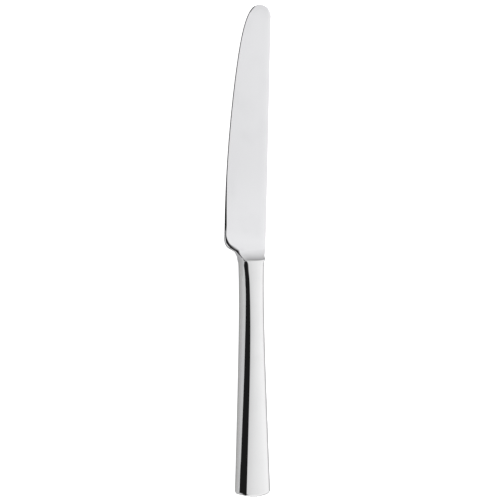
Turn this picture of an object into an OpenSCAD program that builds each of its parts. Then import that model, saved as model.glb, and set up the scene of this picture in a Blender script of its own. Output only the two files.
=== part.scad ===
// Table knife with a hollow handle, lying flat on a table.
// Millimetres. +Y runs to the tip, +X to the spine, +Z up from the table.

/* [Blade] */
// Length of the blade, from the handle's mouth to the tip
blade_len = 123.7; // [105:0.1:140]
// Width of the blade at its heel, cutting edge to spine
blade_w = 22.15; // [19:0.05:24]
// How far the spine leans outward between the ramp and the tip
spine_lean = 4.2; // [2.5:0.1:5.5]
// How far the spine steps out beside the ramp
spine_step = 1.1; // [0:0.1:1.5]
// Thickness of the spine where it leaves the handle
spine_t = 2.4; // [2:0.1:3]
// Thickness of the spine at the tip
tip_t = 1.3; // [1:0.1:1.8]
// Radius of the tip's corner on the spine side
tip_r = 5.3; // [4:0.1:6]
// Width of the short straight stretch at the very tip
tip_flat = 1.4; // [0.6:0.1:1.8]
// Thickness of the heel along its blunt side
heel_t = 1.7; // [1.4:0.1:2.2]
// How far each face swells out towards the bolster
heel_swell = 0.6; // [0:0.05:0.9]
// How far the heel's corner stands out past the cutting edge
heel_bulge = 0.3; // [0:0.05:0.6]
// Width of the cutting bevel next to the heel
bevel_heel_w = 0.8; // [0.5:0.05:1.2]
// Thickness of the blade at the bevel there
bevel_heel_t = 1.36; // [0.6:0.02:1.6]
// Width of the cutting bevel on the rest of the blade
bevel_w = 0.4; // [0.3:0.05:1]
// Thickness of the blade at the bevel there
bevel_t = 0.36; // [0.2:0.02:0.6]

/* [Bolster] */
// Length of the bolster's land between the handle's mouth and the ramp
land_len = 1.2; // [0.9:0.1:2]
// Length of the ramp from the blade's face up to the land
ramp_len = 5.6; // [4:0.1:6.6]
// How far the ramp's edge on the cutting side lags behind its middle
ramp_late = 0.9; // [0:0.1:1.2]
// How far the ramp's top edge bows back at its middle
ramp_bow = 0.8; // [0:0.05:1]
// Distance from the mouth to the place where the heel is widest
heel_at = 11.7; // [10:0.1:14]
// Rounding of the heel's blunt side
heel_round = 1.6; // [0.8:0.05:2]
// Rounding of the spine's edges
spine_round = 0.4; // [0.2:0.05:0.6]

/* [Handle] */
// Length of the handle, from the mouth to the end of the butt
handle_len = 112.8; // [104:0.1:130]
// Thickness of the handle, flat face to flat face
handle_t = 9; // [8.4:0.1:11]
// Width of the handle at its mouth
mouth_w = 12.8; // [12.2:0.1:15]
// Width of the handle at its waist
waist_w = 12.5; // [11.8:0.1:13.4]
// Distance from the mouth to the waist
waist_at = 11.8; // [10:0.1:18]
// Width of the handle at its butt
butt_w = 18.4; // [15:0.1:21]
// How gently the handle starts to widen behind the waist
flare_ease = 25; // [10:1:40]
// Distance from the side's widest line in to the flat face, where it is greatest
side_inset = 3.86; // [2.8:0.02:4]
// The same distance at the neck
neck_inset = 2.95; // [2:0.05:3.5]
// The same distance beside the ramp, where the side has narrowed to an edge
edge_inset = 0.65; // [0.4:0.05:1]
// How far the middle of the butt's end bows out
butt_bow = 1.8; // [0.5:0.1:2.5]
// Rounding of the butt's edges
butt_r = 1.3; // [0.6:0.1:1.4]
// Wall of the pressed half shells
wall_t = 0.9; // [0.6:0.05:1.1]
// Thickness of the braze between the half shells
braze_t = 0.12; // [0.08:0.02:0.2]

/* [Joint] */
// Length of the spigot that plugs the handle's mouth
spigot_len = 5; // [3:0.5:8]
// Thickness of the solder around the spigot
solder_t = 0.15; // [0.1:0.05:0.3]
// Length of the tang behind the mouth
tang_len = 62; // [45:1:80]
// Width of the tang at its root
tang_w = 7; // [5:0.1:8]
// Width of the tang at its end
tang_end_w = 4; // [3:0.1:5]
// Thickness of the tang
tang_t = 3; // [2:0.1:3.2]
// Radius of the notches that key the tang into the cement
notch_r = 0.8; // [0.4:0.1:1]
// How far the cement runs past the end of the tang
cement_cover = 10; // [4:1:20]

/* [Hidden] */

half_t = handle_t / 2;
mouth_h = mouth_w / 2;
waist_h = waist_w / 2;
butt_h = butt_w / 2;
side_r = (side_inset * side_inset + half_t * half_t) / (2 * side_inset);
rim_z = braze_t / 2;
spigot_in = wall_t + solder_t;
cavity_end = handle_len - wall_t;
cement_end = tang_len + cement_cover;
bow_from = handle_len - 20;
foot_h = half_w(-land_len);
ramp_back = min(ramp_bow, land_len - 0.3);
side_mid = 0.585 * handle_len;
neck_d = 0.68 * waist_at;
narrow_from = -0.25 * waist_at;
narrow_to = land_len - 0.2;
blunt_from = land_len + 5.4;
blunt_to = heel_at + 1.3;
ground_from = heel_at + 1;
ground_to = heel_at + 6;
thin_from = heel_at - 2.7;
thin_to = heel_at + 5.3;
swell_from = heel_at - 4.7;
swell_to = heel_at + 5.3;

// Steps of the curved faces
side_steps = 6;
front_steps = 3;
heel_steps = 20;
belly_steps = 14;
tip_steps = 12;
flare_steps = 12;

// The outline's named places, with the handle's axis and mouth as the origin
spine_end = [spine_line(blade_len - tip_r), blade_len - tip_r];
tip_centre = spine_end - [tip_r, 0];
tip_x = tip_centre[0] - tip_flat;
heel_x = spine_line(heel_at) - blade_w;
belly_turn = 9.7;
belly_way = [sin(belly_turn), cos(belly_turn)];
belly = [heel_x + 0.341 * blade_w, 0.785 * blade_len];
centre_x = (min(heel_x - heel_bulge, -butt_h) + max(spine_end[0], butt_h)) / 2;
centre_y = (blade_len - handle_len) / 2;

heel_curve = [
    [-foot_h, land_len],
    [-foot_h - 2.9, mix(land_len, heel_at, 0.62)],
    [heel_x - 0.1, mix(land_len, heel_at, 0.27)],
    [heel_x, heel_at]
];
belly_curve = [
    [heel_x, heel_at],
    [heel_x, heel_at + 0.207 * blade_len],
    belly - 0.208 * blade_len * belly_way,
    belly
];
tip_curve = [
    belly,
    belly + 0.093 * blade_len * belly_way,
    [tip_x - 0.0525 * blade_len, blade_len],
    [tip_x, blade_len]
];

function mix(a, b, t) = a + (b - a) * t;
function clip(v) = min(1, max(0, v));
function ease(a, b, v) = let (t = clip((v - a) / (b - a))) t * t * (3 - 2 * t);
function bez(p, t) =
    pow(1 - t, 3) * p[0] + 3 * pow(1 - t, 2) * t * p[1]
    + 3 * (1 - t) * t * t * p[2] + t * t * t * p[3];
function bez_way(p, t) =
    pow(1 - t, 2) * (p[1] - p[0]) + 2 * (1 - t) * t * (p[2] - p[1]) + t * t * (p[3] - p[2]);

// A side face in section, from the widest line up to the edge of the flat face
function arc_side(r, z) = let (low = acos(z / r)) [
    for (i = [0:side_steps]) let (a = mix(90, low, i / side_steps)) [r * (1 - sin(a)), r * cos(a)]
];
function bevel_side(w, z) = [for (i = [0:side_steps]) [w * i / side_steps, z * i / side_steps]];
function fit_side(side, w, z) = let (e = side[side_steps]) [
    for (p = side) [p[0] * w / e[0], p[1] * z / e[1]]
];
function mix_side(a, b, t) = [for (i = [0:side_steps]) mix(a[i], b[i], t)];
handle_side = arc_side(side_r, half_t);

// The upper half of a section, from the left side over the front to the right side
function upper(xl, xr, ls, rs) = let (
    a = [xl, 0] + ls[side_steps],
    b = [xr - rs[side_steps][0], rs[side_steps][1]]
) concat(
    [for (p = ls) [xl + p[0], p[1]]],
    [for (i = [1:front_steps]) mix(a, b, i / (front_steps + 1))],
    [for (i = [side_steps:-1:0]) [xr - rs[i][0], rs[i][1]]]
);
function closed(half) = concat(half, [for (i = [len(half) - 2:-1:1]) [half[i][0], -half[i][1]]]);
function at_y(section, y) = [for (p = section) [p[0], y, p[1]]];

// The handle: half width and inset at a distance behind the mouth, and the end's bow
function flare(q) = sqrt(q * q + flare_ease * flare_ease) - flare_ease;
function half_w(d) = d < waist_at
    ? waist_h + (mouth_h - waist_h) * pow(1 - d / waist_at, 2)
    : waist_h + (butt_h - waist_h) * flare(d - waist_at) / flare(handle_len - waist_at);
function even_inset(d) =
    side_inset - (side_inset - neck_inset) * pow(max(0, side_mid - d) / (side_mid - neck_d), 2);
function inset(d) =
    mix(even_inset(d), edge_inset, pow(clip((-d - narrow_from) / (narrow_to - narrow_from)), 4));
function bowed(d, x) = -d + butt_bow * pow(x / butt_h, 2) * ease(bow_from, handle_len, d);
function handle_half(d, e) = let (
    k = inset(d) / side_inset,
    s = [for (p = arc_side(side_r - e, half_t - e)) [k * p[0], p[1]]]
) upper(-half_w(d) + e, half_w(d) - e, s, s);
function on_handle(half, d) = [for (p = half) [p[0], bowed(d, p[0]), max(p[1], rim_z)]];
function on_rim(half, d, k) = [for (p = half) [k * p[0], bowed(d, k * p[0]), rim_z]];
function backward(a) = [for (i = [len(a) - 1:-1:0]) a[i]];

handle_stations = concat(
    [for (i = [0:4]) waist_at * i / 5],
    [for (i = [0:flare_steps]) mix(waist_at, handle_len - butt_r, i / flare_steps)]
);
butt_end = handle_half(handle_len, butt_r);
cavity_last = handle_half(cavity_end, wall_t);
function butt_ring(a) = let (d = handle_len - butt_r + butt_r * sin(a))
    on_handle(handle_half(d, butt_r * (1 - cos(a))), d);

// The shell's loops run over the outside and back along the inside, from the butt to the mouth
shell_loops = concat(
    [concat(on_handle(butt_end, handle_len), backward(on_rim(butt_end, handle_len, 0.97)))],
    [concat(butt_ring(60), backward(on_rim(cavity_last, cavity_end, 1)))],
    [concat(butt_ring(30), backward(on_handle(cavity_last, cavity_end)))],
    [for (d = backward(handle_stations)) concat(
        on_handle(handle_half(d, 0), d),
        backward(on_handle(handle_half(d, wall_t), d))
    )]
);

// The blade's sections, from the mouth to the tip
function ramp_left(y) = clip(1 - (y - land_len) / ramp_len);
function ramp_y(y, x) =
    y - ramp_back * max(0, 1 - pow(x / foot_h, 2)) * (y < land_len ? 0 : ramp_left(y));
function spine_line(y) =
    foot_h + spine_step * ease(land_len, land_len + ramp_len, y)
    + spine_lean * (y - land_len) / (blade_len - land_len);
function swell_at(y) = heel_swell * (1 - ease(swell_from, swell_to, y));
function spine_x(y) = y < land_len ? half_w(-y) : y < spine_end[1]
    ? spine_line(y) - 0.5 * swell_at(y) * ease(land_len, land_len + 1.8, y)
    : tip_centre[0] + sqrt(max(0, tip_r * tip_r - pow(y - tip_centre[1], 2)));
function blade_ring(at, way) = let (
    y = at[1],
    xr = spine_x(y),
    r = pow(ramp_left(y), 2),
    late = pow(ramp_left(y + ramp_late), 2),
    swell = swell_at(y),
    edge_w = mix(bevel_heel_w, bevel_w, ease(heel_at + 2, heel_at + 32, y)),
    edge_t = mix(bevel_heel_t, bevel_t, ease(heel_at + 2, heel_at + 40, y)),
    tilt = min(3, norm(way) / max(way[1], 0.001)),
    ground = ease(ground_from, ground_to, y),
    zs = mix(mix(spine_t, tip_t, y / blade_len) / 2 + swell, half_t, r),
    ze = mix(mix(heel_t / 2 + swell, edge_t / 2, ease(thin_from, thin_to, y)), half_t, late),
    blunt = mix(heel_round, edge_w, ease(blunt_from, blunt_to, y)) * tilt,
    wl = min(mix(inset(-y), blunt, ease(land_len + 1, land_len + 6, y)), 0.4 * (xr - at[0])),
    wr = min(mix(spine_round, inset(-y), r), 0.3 * (xr - at[0])),
    ls = mix_side(fit_side(handle_side, wl, ze), bevel_side(wl, ze), ground),
    rs = fit_side(handle_side, wr, zs)
) [for (p = closed(upper(at[0], xr, ls, rs))) [p[0], ramp_y(y, p[0]), p[1]]];
function bulged(p) = p - [
    heel_bulge * ease(land_len, heel_at, p[1]) * (1 - ease(heel_at + 0.8, heel_at + 6.3, p[1])), 0
];
function curve_rings(curve, n, from) = [
    for (i = [from:n]) blade_ring(bulged(bez(curve, i / n)), bez_way(curve, i / n))
];
function spigot_ring(d, y) = at_y(closed(handle_half(d, spigot_in)), y);
function cavity_ring(d) = [
    for (p = closed(handle_half(d, wall_t))) [p[0], bowed(d, p[0]), p[1]]
];

// A closed skin over loops of points that follow each other along +Y
function skin_faces(n, loops) = [
    for (k = [0:loops - 2], i = [0:n - 1])
        let (a = k * n + i, b = k * n + (i + 1) % n)
            each [[a, a + n, b + n], [a, b + n, b]]
];
function cap_faces(n) = concat(
    [[0, 1, n - 1], [n / 2 - 1, n / 2, n / 2 + 1]],
    [for (i = [1:n / 2 - 2]) each [[i, i + 1, n - i - 1], [i, n - i - 1, n - i]]]
);
module skin(loops) {
    n = len(loops[0]);
    last = (len(loops) - 1) * n;
    polyhedron(
        points = [for (l = loops) each l],
        faces = concat(
            skin_faces(n, len(loops)),
            cap_faces(n),
            [for (f = cap_faces(n)) [last + f[0], last + f[2], last + f[1]]]
        )
    );
}
module trough(loops) {
    n = len(loops[0]);
    m = n / 2;
    last = (len(loops) - 1) * n;
    polyhedron(
        points = [for (l = loops) each l],
        faces = concat(
            skin_faces(n, len(loops)),
            [for (j = [0:m - 2]) each [[j, j + 1, n - 2 - j], [j, n - 2 - j, n - 1 - j]]],
            [for (j = [0:m - 2]) each [
                [last + j, last + n - 2 - j, last + j + 1],
                [last + j, last + n - 1 - j, last + n - 2 - j]
            ]]
        )
    );
}

module in_place() {
    translate([-centre_x, -centre_y, half_t]) children();
}
module slab(from, to) {
    translate([-2 * butt_w, -to, -handle_t]) cube([4 * butt_w, to - from, 2 * handle_t]);
}
module cavity() {
    skin([for (d = backward(concat(handle_stations, [cavity_end]))) cavity_ring(d)]);
}
module tang() {
    translate([0, 0, -tang_t / 2]) linear_extrude(tang_t) difference() {
        polygon([
            [-tang_w / 2, 2], [-tang_w / 2, -spigot_len],
            [-tang_end_w / 2, -tang_len + 1], [-tang_end_w / 2 + 1, -tang_len],
            [tang_end_w / 2 - 1, -tang_len], [tang_end_w / 2, -tang_len + 1],
            [tang_w / 2, -spigot_len], [tang_w / 2, 2]
        ]);
        for (i = [1:3], s = [-1, 1]) {
            t = (i - 0.25 * s) / 4;
            translate([s * mix(tang_w, tang_end_w, t) / 2, -mix(spigot_len, tang_len, t)])
                circle(notch_r, $fn = 32);
        }
    }
}

module blade() {
    color([0.79, 0.79, 0.81]) in_place() {
        skin(concat(
            [for (i = [2:-1:0]) spigot_ring(spigot_len * i / 2, -spigot_len * i / 2)],
            [blade_ring([-mouth_h, 0], [0, 1])],
            curve_rings(heel_curve, heel_steps, 0),
            curve_rings(belly_curve, belly_steps, 1),
            curve_rings(tip_curve, tip_steps, 1)
        ));
        tang();
    }
}
module handle_shell_front() {
    color([0.82, 0.82, 0.83]) in_place() trough(shell_loops);
}
module handle_shell_back() {
    color([0.82, 0.82, 0.83]) in_place() mirror([0, 0, 1]) trough(shell_loops);
}
module seam_braze() {
    n = len(shell_loops);
    m = len(shell_loops[0]) / 2;
    outside = concat(
        [for (k = [n - 1:-1:0]) shell_loops[k][0]],
        [for (j = [2 * m - 1:-1:m]) shell_loops[0][j]],
        [for (k = [0:n - 1]) shell_loops[k][m - 1]]
    );
    inside = concat(
        [for (k = [n - 1:-1:2]) shell_loops[k][m]],
        [for (j = [m + 1:2 * m - 2]) shell_loops[1][j]],
        [for (k = [2:n - 1]) shell_loops[k][2 * m - 1]]
    );
    color([0.80, 0.74, 0.60]) in_place() translate([0, 0, -rim_z]) linear_extrude(braze_t)
        polygon([for (p = concat(outside, inside)) [p[0], p[1]]]);
}
module tang_cement() {
    color([0.56, 0.53, 0.48]) in_place() difference() {
        intersection() {
            cavity();
            slab(spigot_len, cement_end);
        }
        tang();
    }
}
module mouth_solder() {
    color([0.70, 0.71, 0.72]) in_place() difference() {
        intersection() {
            cavity();
            slab(0, spigot_len);
        }
        skin([
            spigot_ring(spigot_len, -spigot_len - 1),
            spigot_ring(spigot_len, -spigot_len),
            spigot_ring(spigot_len / 2, -spigot_len / 2),
            spigot_ring(0, 0),
            spigot_ring(0, 1)
        ]);
    }
}

blade();
handle_shell_front();
handle_shell_back();
seam_braze();
tang_cement();
mouth_solder();
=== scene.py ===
"""Looks of a table knife with a hollow steel handle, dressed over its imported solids.

Sizes are the drawing's millimetres unless a comment says otherwise. In the drawing x runs
from the cutting edge to the spine, y from the handle's mouth to the tip, and z up from the
knife's middle plane. Blender works in metres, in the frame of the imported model.
"""

import logging
import math
from bisect import bisect_left
from collections.abc import Callable, Iterable, Sequence
from dataclasses import dataclass
from enum import Enum
from functools import cached_property

import bmesh
import bpy
from mathutils import Matrix, Vector


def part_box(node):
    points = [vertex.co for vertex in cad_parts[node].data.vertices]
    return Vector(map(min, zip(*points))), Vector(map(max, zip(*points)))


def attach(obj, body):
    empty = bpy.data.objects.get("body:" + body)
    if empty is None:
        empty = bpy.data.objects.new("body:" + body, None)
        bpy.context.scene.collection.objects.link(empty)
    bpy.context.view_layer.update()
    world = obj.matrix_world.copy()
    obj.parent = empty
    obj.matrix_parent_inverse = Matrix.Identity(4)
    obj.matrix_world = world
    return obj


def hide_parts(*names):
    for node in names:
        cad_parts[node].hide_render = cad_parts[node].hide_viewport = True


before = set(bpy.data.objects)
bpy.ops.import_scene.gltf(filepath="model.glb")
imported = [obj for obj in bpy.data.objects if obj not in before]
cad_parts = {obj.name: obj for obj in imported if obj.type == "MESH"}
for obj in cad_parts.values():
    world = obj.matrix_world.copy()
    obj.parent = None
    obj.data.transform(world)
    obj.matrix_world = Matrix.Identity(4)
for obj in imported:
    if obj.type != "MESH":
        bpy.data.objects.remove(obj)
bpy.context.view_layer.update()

Colour = tuple[float, float, float, float]
Triple = tuple[float, float, float]
Point = tuple[float, float]

LOG = logging.getLogger("table_knife")
MM = 0.001
BODY = "root"


class Face(Enum):
    """The side of the middle plane that a half shell covers."""

    FRONT = 1
    BACK = -1


class End(Enum):
    """The side of a section that a transform works on."""

    LEFT = -1
    RIGHT = 1


def mix(a: float, b: float, t: float) -> float:
    """Goes from a to b as t goes from 0 to 1."""
    return a + (b - a) * t


def ease(a: float, b: float, v: float) -> float:
    """Rises smoothly from 0 at a to 1 at b."""
    t = min(1.0, max(0.0, (v - a) / (b - a)))
    return t * t * (3 - 2 * t)


def spread(a: float, b: float, count: int) -> list[float]:
    """Gives count even steps from just after a to b."""
    return [mix(a, b, i / count) for i in range(1, count + 1)]


def halve(test: Callable[[float], bool], low: float, high: float, rounds: int) -> Point:
    """Closes in on the value where a test stops holding.

    Args:
        test: Holds at low and fails at high.
        low: The lower end of the search.
        high: The upper end.
        rounds: How often the search is halved.

    Returns:
        The ends of what is left of the search.
    """
    for _ in range(rounds):
        middle = (low + high) / 2
        if test(middle):
            low = middle
        else:
            high = middle
    return low, high


@dataclass(frozen=True)
class Datum:
    """Where the drawing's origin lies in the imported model.

    Args:
        axis_x: The handle's axis, in metres.
        mouth_y: The handle's mouth, in metres.
        middle_z: The knife's middle plane, in metres.
    """

    axis_x: float
    mouth_y: float
    middle_z: float

    @classmethod
    def from_frame(cls) -> "Datum":
        """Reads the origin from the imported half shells."""
        low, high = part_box("handle_shell_front")
        return cls((low.x + high.x) / 2, high.y, high.z / 2)

    def place(self, x: float, y: float, z: float) -> Triple:
        """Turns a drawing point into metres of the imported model."""
        return (self.axis_x + x * MM, self.mouth_y + y * MM, self.middle_z + z * MM)

    def drawn(self, point: Vector) -> Triple:
        """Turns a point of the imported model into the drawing's millimetres."""
        return (
            (point.x - self.axis_x) / MM,
            (point.y - self.mouth_y) / MM,
            (point.z - self.middle_z) / MM,
        )


@dataclass(frozen=True)
class Section:
    """A cross-section, even about the middle plane, with a rounded side at each end.

    CORNER_SHARE is how much of a boxed side its rounded corner takes, at most.

    Args:
        y: Its place along the knife.
        left: The outermost x of the left side.
        right: The outermost x of the right side.
        left_in: How far the left side runs in before the flat face starts.
        right_in: The same on the right.
        left_up: Half the thickness where the face meets the left side.
        right_up: The same on the right.
        ground: How far the left side is ground flat, from 0 to 1.
        boxed: How far the left side is squared up to a flat flank with a rounded corner, from 0 to 1.
        corner: The height of that corner.
        under: How far the lower half takes part in that, from 0 to 1.
    """

    y: float
    left: float
    right: float
    left_in: float
    right_in: float
    left_up: float
    right_up: float
    ground: float = 0.0
    boxed: float = 0.0
    corner: float = 0.0
    under: float = 1.0

    CORNER_SHARE = 0.9

    @property
    def middle(self) -> float:
        """The x halfway between the two sides."""
        return (self.left + self.right) / 2

    def side(self, end: End) -> Triple:
        """One side's outermost x, how far it runs in, and half the thickness where it ends."""
        if end is End.LEFT:
            return self.left, self.left_in, self.left_up
        return self.right, self.right_in, self.right_up

    def corner_at(self, part: float) -> Point:
        """Finds a point of the boxed left side.

        Args:
            part: How far up the side it lies, 0 on the middle plane and 1 on the flat face.

        Returns:
            How far in it lies, and how high.
        """
        deep = self.CORNER_SHARE * self.left_in
        tall = min(self.corner, self.CORNER_SHARE * self.left_up)
        flank, high = self.left_in - deep, self.left_up - tall
        if part < 0.5:
            return flank * (2 * part) ** 2, high * 2 * part
        turn = math.radians((part - 0.5) * 180)
        return flank + deep * (1 - math.cos(turn)), high + tall * math.sin(turn)

    def across(self, x: float) -> float:
        """Says how far x lies over the flat face, 0 at its left edge and 1 at its right."""
        start = self.left + self.left_in
        return (x - start) / (self.right - self.right_in - start)


class Workpiece:
    """One mesh on the bench, shaped with Blender's edit-mode operators.

    SLACK and NEAR are the drawing's millimetres, within which places count as the same.
    MERGE is in metres, within which points are one.
    """

    SLACK = 2e-4
    NEAR = 1e-3
    MERGE = 1e-7

    def __init__(self, name: str, datum: Datum, base: float) -> None:
        """Starts an empty bench.

        Args:
            name: The piece's name.
            datum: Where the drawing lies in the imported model.
            base: The z that sections thicken from.
        """
        self.name = name
        self.datum = datum
        self.base = base
        self.sections: dict[float, Section] = {}
        self.bm: bmesh.types.BMesh | None = None

    @property
    def obj(self) -> bpy.types.Object:
        """The Blender object on the bench."""
        return bpy.data.objects[self.name]

    def pick(self) -> None:
        """Makes the piece the only selected one, and the active one."""
        bpy.ops.object.select_all(action="DESELECT")
        self.obj.select_set(True)
        bpy.context.view_layer.objects.active = self.obj

    def open(self) -> None:
        """Picks the piece and enters edit mode."""
        self.pick()
        bpy.ops.object.mode_set(mode="EDIT")
        bpy.ops.mesh.select_mode(type="VERT")
        self.bm = bmesh.from_edit_mesh(self.obj.data)

    def close(self) -> None:
        """Leaves edit mode."""
        self.bm = None
        bpy.ops.object.mode_set(mode="OBJECT")

    @staticmethod
    def choose_all() -> None:
        """Selects everything."""
        bpy.ops.mesh.select_all(action="SELECT")

    def choose(self, verts: Iterable[bmesh.types.BMVert]) -> None:
        """Selects just these vertices, with the edges and faces between them."""
        bpy.ops.mesh.select_all(action="DESELECT")
        for vert in verts:
            vert.select = True
        self.bm.select_flush(True)
        bmesh.update_edit_mesh(self.obj.data, loop_triangles=False, destructive=False)

    def choose_edges(self, wanted: Callable[[bmesh.types.BMEdge], bool]) -> None:
        """Selects just the edges that pass a test."""
        bpy.ops.mesh.select_mode(type="EDGE")
        bpy.ops.mesh.select_all(action="DESELECT")
        for edge in self.bm.edges:
            edge.select = wanted(edge)
        bmesh.update_edit_mesh(self.obj.data, loop_triangles=False, destructive=False)

    def chosen(self) -> list[bmesh.types.BMVert]:
        """Lists the selected vertices."""
        return [vert for vert in self.bm.verts if vert.select]

    def drawn(self, vert: bmesh.types.BMVert) -> Triple:
        """Gives a vertex's place in the drawing."""
        return self.datum.drawn(vert.co)

    def shift(self, x: float, y: float, z: float) -> None:
        """Moves the selection."""
        bpy.ops.transform.translate(value=(x * MM, y * MM, z * MM))

    def stretch(self, scale: Triple, about: Triple) -> None:
        """Scales the selection about a drawing point."""
        bpy.ops.transform.resize(value=scale, center_override=self.datum.place(*about))

    def trim(self, z: float, way: int) -> None:
        """Cuts off all that lies beyond a level of z.

        Args:
            z: The level of the cut.
            way: 1 to lose what is above it, -1 to lose what is below.
        """
        self.choose_all()
        bpy.ops.mesh.bisect(
            plane_co=self.datum.place(0, 0, z),
            plane_no=(0, 0, way),
            clear_outer=True,
            threshold=self.MERGE,
        )

    def hoop(self, stock: Section, steps: int) -> None:
        """Sets out a section as a loop of edges, bent from a circle.

        Args:
            stock: The section, with both sides alike.
            steps: The number of steps in the full circle.
        """
        radius = (stock.left_in**2 + stock.left_up**2) / (2 * stock.left_in)
        bpy.ops.object.select_all(action="DESELECT")
        bpy.ops.mesh.primitive_circle_add(
            vertices=steps,
            radius=radius * MM,
            fill_type="NOTHING",
            location=self.datum.place(0, stock.y, 0),
            rotation=(math.pi / 2, 0, 0),
        )
        bpy.context.active_object.name = self.name
        self.obj.data.name = self.name
        bpy.ops.object.transform_apply(location=True, rotation=True, scale=True)
        self.open()
        self.trim(stock.left_up, 1)
        self.trim(-stock.left_up, -1)
        for end in End:
            self.choose(v for v in self.bm.verts if self.drawn(v)[0] * end.value > 0)
            self.shift(end.value * (stock.right - radius), 0, 0)
        for level in (stock.left_up, -stock.left_up):
            self.choose(v for v in self.bm.verts if abs(self.drawn(v)[2] - level) < self.NEAR)
            bpy.ops.mesh.edge_face_add()
        self.choose_all()

    def reshape(self, here: Section, there: Section) -> None:
        """Fits the selected loop, shaped as one section, to another one."""
        loop = self.chosen()
        parts = {
            End.LEFT: [v for v in loop if self.drawn(v)[0] < here.middle],
            End.RIGHT: [v for v in loop if self.drawn(v)[0] >= here.middle],
        }
        for end, verts in parts.items():
            old_x, old_in, old_up = here.side(end)
            new_x, new_in, new_up = there.side(end)
            self.choose(verts)
            rise = (new_up - self.base) / (old_up - self.base)
            self.stretch((new_in / old_in, 1, rise), (old_x, there.y, self.base))
            self.shift(new_x - old_x, 0, 0)
        if there.ground > 0 and here.ground < 1:
            self.grind(parts[End.LEFT], there, (1 - there.ground) / (1 - here.ground))
        self.choose(loop)
        self.sections[there.y] = there

    def grind(self, side: list[bmesh.types.BMVert], there: Section, keep: float) -> None:
        """Presses a section's left side towards two flat bevels that meet at its edge.

        Args:
            side: The side's vertices.
            there: The section that they lie on.
            keep: The share of their roundness that they keep.
        """
        for way in (1, -1):
            self.choose(v for v in side if self.drawn(v)[2] * way > self.NEAR)
            normal = Vector((-there.left_up, 0, way * there.left_in)).normalized()
            along = Vector((0, 1, 0))
            bpy.ops.transform.resize(
                value=(1, 1, keep),
                orient_type="GLOBAL",
                orient_matrix=(along.cross(normal), along, normal),
                orient_matrix_type="GLOBAL",
                center_override=self.datum.place(there.left, there.y, 0),
            )

    def follow(self, path: Sequence[Section]) -> None:
        """Draws the selected loop out through a row of sections, the first being its own."""
        for here, there in zip(path, path[1:]):
            step = (there.y - here.y) * MM
            bpy.ops.mesh.extrude_region_move(TRANSFORM_OT_translate={"value": (0, step, 0)})
            self.reshape(here, there)

    def section_at(self, y: float) -> Section | None:
        """Finds the section that was set at a place along the knife."""
        places = sorted(self.sections)
        nearest = places[min(bisect_left(places, y - self.SLACK), len(places) - 1)]
        return self.sections[nearest] if abs(nearest - y) < self.SLACK else None

    def rib(self, columns: int) -> None:
        """Divides the flat faces into columns, where a section's two sides face each other."""

        def joins_sides(edge: bmesh.types.BMEdge) -> bool:
            (ax, ay, _), (bx, by, _) = (self.drawn(v) for v in edge.verts)
            section = self.section_at(ay)
            if section is None or abs(ay - by) > self.NEAR:
                return False
            return (ax - section.middle) * (bx - section.middle) < 0

        self.choose_edges(joins_sides)
        bpy.ops.mesh.subdivide(number_cuts=columns - 1)
        bpy.ops.mesh.select_mode(type="VERT")

    def crown(self, columns: int, lift: Callable[[float, float], float]) -> None:
        """Lifts the columns of the flat faces away from the middle plane.

        Args:
            columns: The number of columns.
            lift: Gives the height to add, from how far over the face a column lies and its y.
        """
        lanes: dict[float, list[bmesh.types.BMVert]] = {}
        for vert in self.bm.verts:
            x, y, z = self.drawn(vert)
            section = self.section_at(y)
            if section is None or abs(z - self.base) < self.NEAR:
                continue
            column = round(section.across(x) * columns)
            if 0 < column < columns and abs(section.across(x) * columns - column) < 0.05:
                height = math.copysign(lift(column / columns, y), z)
                lanes.setdefault(round(height, 5), []).append(vert)
        for height, verts in lanes.items():
            self.choose(verts)
            self.shift(0, 0, height)

    def slide(self, reach: tuple[float, float], way: Callable[[float, float], float]) -> None:
        """Slides points along the knife, by a distance that depends on their place.

        Args:
            reach: The lowest and highest y that move.
            way: Gives the distance from a point's y and x.
        """
        # Points that move together share a thousandth along the knife and a hundredth across it.
        lanes: dict[tuple[int, int], list[bmesh.types.BMVert]] = {}
        for vert in self.bm.verts:
            x, y, _ = self.drawn(vert)
            if reach[0] - self.SLACK < y < reach[1]:
                lanes.setdefault((round(y * 1e3), round(x * 1e2)), []).append(vert)
        for (y, x), verts in lanes.items():
            self.choose(verts)
            self.shift(0, way(y * 1e-3, x * 1e-2), 0)

    def square_up(self, sweep: float) -> None:
        """Squares up the left sides that are to be boxed.

        Args:
            sweep: The angle in degrees that the stock's bent side takes up to its flat face.
        """
        top = math.sin(math.radians(sweep))
        for vert in self.bm.verts:
            x, y, z = self.drawn(vert)
            section = self.section_at(y)
            if section is None or section.boxed == 0 or section.across(x) > 0.001:
                continue
            part = math.degrees(math.asin(min(1.0, abs(z) / section.left_up) * top)) / sweep
            reach, high = section.corner_at(part)
            share = section.boxed * (1 if z > 0 else section.under)
            new_x = mix(x, section.left + reach, share)
            new_z = mix(z, math.copysign(high, z), share)
            vert.co = self.datum.place(new_x, y, new_z)

    def clean(self) -> None:
        """Merges doubled points and turns all faces outwards."""
        self.choose_all()
        bpy.ops.mesh.remove_doubles(threshold=self.MERGE)
        self.choose_all()
        bpy.ops.mesh.normals_make_consistent(inside=False)

    def finish_modifier(self, kind: str, **settings: object) -> None:
        """Adds a modifier to the piece and applies it."""
        bpy.context.view_layer.objects.active = self.obj
        modifier = self.obj.modifiers.new(kind.lower(), kind)
        for key, value in settings.items():
            setattr(modifier, key, value)
        bpy.ops.object.modifier_apply(modifier=modifier.name)

    def smooth(self, sharp_over: float) -> None:
        """Shades the piece smooth, with the broad faces kept true.

        Args:
            sharp_over: The angle in degrees from which an edge stays sharp.
        """
        self.pick()
        bpy.ops.object.shade_smooth_by_angle(angle=math.radians(sharp_over))
        self.finish_modifier("WEIGHTED_NORMAL", weight=90, keep_sharp=True)


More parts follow.
